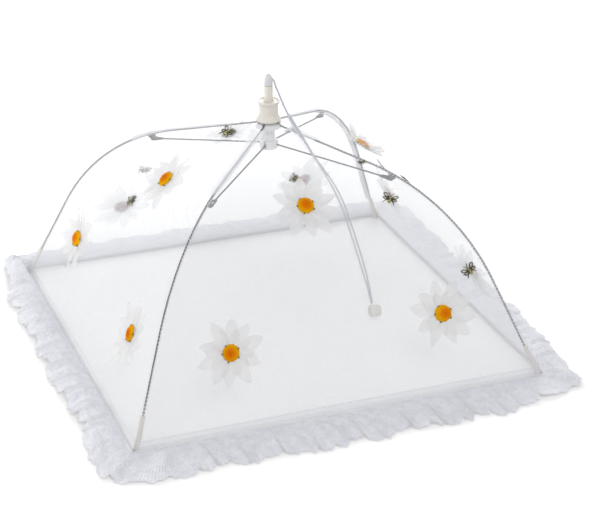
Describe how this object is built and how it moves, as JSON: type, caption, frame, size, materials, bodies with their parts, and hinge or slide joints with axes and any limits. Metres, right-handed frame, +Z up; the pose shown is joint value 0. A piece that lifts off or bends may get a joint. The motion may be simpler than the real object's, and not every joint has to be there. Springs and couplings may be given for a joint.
{
  "type": "food cover",
  "caption": "Pop-up square net food cover with lace frill and daisies, folded like an umbrella by a plunger and pull cord.",
  "frame": {"origin": "on the table, under the middle of the crown", "axes": "+Z up along the plunger; the four sides are parallel to X and Y; -Y is the side that the pull cord lies on"},
  "size_m": [0.4832, 0.4832, 0.2638],
  "materials": {
    "cream_plastic": "satin, slightly translucent",
    "clear_plastic": "satin, translucent white",
    "dark_steel": "dark grey spring steel",
    "bright_steel": "bright",
    "net": "fine white net",
    "lace": "white lace",
    "pocket_cloth": "white cloth",
    "satin": "white satin petals, orange middle",
    "cord": "white braided cord",
    "bead": "white, rounded"
  },
  "bodies": {
    "crown": {"crown": "cream_plastic", "rib_hub": "clear_plastic", "rib_ring": "bright_steel"},
    "plunger": {"plunger": "cream_plastic", "plunger_tip": "clear_plastic", "runner_hub": "clear_plastic", "strut_ring": "bright_steel"},
    "rib_front_left": {"rib_front_left": "dark_steel", "clip_front_left": "bright_steel", "pocket_front_left": "pocket_cloth"},
    "strut_front_left": {"strut_front_left": "dark_steel"},
    "rib_front_right": {"rib_front_right": "dark_steel", "clip_front_right": "bright_steel", "pocket_front_right": "pocket_cloth"},
    "strut_front_right": {"strut_front_right": "dark_steel"},
    "rib_back_right": {"rib_back_right": "dark_steel", "clip_back_right": "bright_steel", "pocket_back_right": "pocket_cloth"},
    "strut_back_right": {"strut_back_right": "dark_steel"},
    "rib_back_left": {"rib_back_left": "dark_steel", "clip_back_left": "bright_steel", "pocket_back_left": "pocket_cloth"},
    "strut_back_left": {"strut_back_left": "dark_steel"},
    "net_front_left": {"net_front_left": "net", "lace_front_left": "lace", "daisy_front_left": "satin", "daisy_front_top": "satin"},
    "net_front_right": {"net_front_right": "net", "lace_front_right": "lace", "daisy_front_right": "satin"},
    "net_right_front": {"net_right_front": "net", "lace_right_front": "lace", "daisy_right_front": "satin", "daisy_right_top": "satin"},
    "net_right_back": {"net_right_back": "net", "lace_right_back": "lace", "daisy_right_back": "satin"},
    "net_back_right": {"net_back_right": "net", "lace_back_right": "lace", "daisy_back_right": "satin", "daisy_back_top": "satin"},
    "net_back_left": {"net_back_left": "net", "lace_back_left": "lace", "daisy_back_left": "satin"},
    "net_left_back": {"net_left_back": "net", "lace_left_back": "lace", "daisy_left_back": "satin", "daisy_left_top": "satin"},
    "net_left_front": {"net_left_front": "net", "lace_left_front": "lace", "daisy_left_front": "satin"},
    "cord": {"pull_cord": "cord", "cord_bead": "bead"}
  },
  "joints": [
    {"name": "plunger_slide", "type": "slide", "parent": "crown", "child": "plunger", "axis": [0, 0, 1], "range_m": [-0.2034, 0]},
    {"name": "rib_fold_front_left", "type": "hinge", "parent": "crown", "child": "rib_front_left", "pos_m": [-0.00693, -0.00693, 0.2135], "axis": [0.7071, -0.7071, 0], "range_deg": [0, 50.5]},
    {"name": "strut_fold_front_left", "type": "hinge", "parent": "plunger", "child": "strut_front_left", "pos_m": [-0.00509, -0.00509, 0.193], "axis": [-0.7071, 0.7071, 0], "range_deg": [0, 73.24]},
    {"name": "rib_fold_front_right", "type": "hinge", "parent": "crown", "child": "rib_front_right", "pos_m": [0.00693, -0.00693, 0.2135], "axis": [0.7071, 0.7071, 0], "range_deg": [0, 50.5]},
    {"name": "strut_fold_front_right", "type": "hinge", "parent": "plunger", "child": "strut_front_right", "pos_m": [0.00509, -0.00509, 0.193], "axis": [-0.7071, -0.7071, 0], "range_deg": [0, 73.24]},
    {"name": "rib_fold_back_right", "type": "hinge", "parent": "crown", "child": "rib_back_right", "pos_m": [0.00693, 0.00693, 0.2135], "axis": [-0.7071, 0.7071, 0], "range_deg": [0, 50.5]},
    {"name": "strut_fold_back_right", "type": "hinge", "parent": "plunger", "child": "strut_back_right", "pos_m": [0.00509, 0.00509, 0.193], "axis": [0.7071, -0.7071, 0], "range_deg": [0, 73.24]},
    {"name": "rib_fold_back_left", "type": "hinge", "parent": "crown", "child": "rib_back_left", "pos_m": [-0.00693, 0.00693, 0.2135], "axis": [-0.7071, -0.7071, 0], "range_deg": [0, 50.5]},
    {"name": "strut_fold_back_left", "type": "hinge", "parent": "plunger", "child": "strut_back_left", "pos_m": [-0.00509, 0.00509, 0.193], "axis": [0.7071, 0.7071, 0], "range_deg": [0, 73.24]},
    {"name": "net_fold_front_left", "type": "hinge", "parent": "rib_front_left", "child": "net_front_left", "pos_m": [-0.00526, -0.00648, 0.21279], "axis": [-0.3343, 0.9219, -0.196], "range_deg": [0, 37.34], "deforming": ["net_front_left", "lace_front_left", "daisy_front_left", "daisy_front_top"]},
    {"name": "net_fold_front_right", "type": "hinge", "parent": "rib_front_right", "child": "net_front_right", "pos_m": [0.00526, -0.00648, 0.21279], "axis": [-0.3343, -0.9219, 0.196], "range_deg": [0, 37.34], "deforming": ["net_front_right", "lace_front_right", "daisy_front_right"]},
    {"name": "net_fold_right_front", "type": "hinge", "parent": "rib_front_right", "child": "net_right_front", "pos_m": [0.00648, -0.00526, 0.21279], "axis": [-0.9219, -0.3343, -0.196], "range_deg": [0, 37.34], "deforming": ["net_right_front", "lace_right_front", "daisy_right_front", "daisy_right_top"]},
    {"name": "net_fold_right_back", "type": "hinge", "parent": "rib_back_right", "child": "net_right_back", "pos_m": [0.00648, 0.00526, 0.21279], "axis": [0.9219, -0.3343, 0.196], "range_deg": [0, 37.34], "deforming": ["net_right_back", "lace_right_back", "daisy_right_back"]},
    {"name": "net_fold_back_right", "type": "hinge", "parent": "rib_back_right", "child": "net_back_right", "pos_m": [0.00526, 0.00648, 0.21279], "axis": [0.3343, -0.9219, -0.196], "range_deg": [0, 37.34], "deforming": ["net_back_right", "lace_back_right", "daisy_back_right", "daisy_back_top"]},
    {"name": "net_fold_back_left", "type": "hinge", "parent": "rib_back_left", "child": "net_back_left", "pos_m": [-0.00526, 0.00648, 0.21279], "axis": [0.3343, 0.9219, 0.196], "range_deg": [0, 37.34], "deforming": ["net_back_left", "lace_back_left", "daisy_back_left"]},
    {"name": "net_fold_left_back", "type": "hinge", "parent": "rib_back_left", "child": "net_left_back", "pos_m": [-0.00648, 0.00526, 0.21279], "axis": [0.9219, 0.3343, -0.196], "range_deg": [0, 37.34], "deforming": ["net_left_back", "lace_left_back", "daisy_left_back", "daisy_left_top"]},
    {"name": "net_fold_left_front", "type": "hinge", "parent": "rib_front_left", "child": "net_left_front", "pos_m": [-0.00648, -0.00526, 0.21279], "axis": [-0.9219, 0.3343, 0.196], "range_deg": [0, 37.34], "deforming": ["net_left_front", "lace_left_front", "daisy_left_front"]},
    {"name": "cord_swing", "type": "hinge", "parent": "crown", "child": "cord", "pos_m": [0, -0.0098, 0.2135], "axis": [1, 0, 0], "range_deg": [0, 24]}
  ],
  "couplings": [
    {"joint": "rib_fold_front_left", "follows": "plunger_slide", "rad_per_m": -4.3327},
    {"joint": "strut_fold_front_left", "follows": "plunger_slide", "rad_per_m": -6.2836},
    {"joint": "rib_fold_front_right", "follows": "plunger_slide", "rad_per_m": -4.3327},
    {"joint": "strut_fold_front_right", "follows": "plunger_slide", "rad_per_m": -6.2836},
    {"joint": "rib_fold_back_right", "follows": "plunger_slide", "rad_per_m": -4.3327},
    {"joint": "strut_fold_back_right", "follows": "plunger_slide", "rad_per_m": -6.2836},
    {"joint": "rib_fold_back_left", "follows": "plunger_slide", "rad_per_m": -4.3327},
    {"joint": "strut_fold_back_left", "follows": "plunger_slide", "rad_per_m": -6.2836},
    {"joint": "net_fold_front_left", "follows": "plunger_slide", "rad_per_m": -3.2028},
    {"joint": "net_fold_front_right", "follows": "plunger_slide", "rad_per_m": -3.2028},
    {"joint": "net_fold_right_front", "follows": "plunger_slide", "rad_per_m": -3.2028},
    {"joint": "net_fold_right_back", "follows": "plunger_slide", "rad_per_m": -3.2028},
    {"joint": "net_fold_back_right", "follows": "plunger_slide", "rad_per_m": -3.2028},
    {"joint": "net_fold_back_left", "follows": "plunger_slide", "rad_per_m": -3.2028},
    {"joint": "net_fold_left_back", "follows": "plunger_slide", "rad_per_m": -3.2028},
    {"joint": "net_fold_left_front", "follows": "plunger_slide", "rad_per_m": -3.2028},
    {"joint": "cord_swing", "follows": "plunger_slide", "rad_per_m": -2.0591}
  ]
}
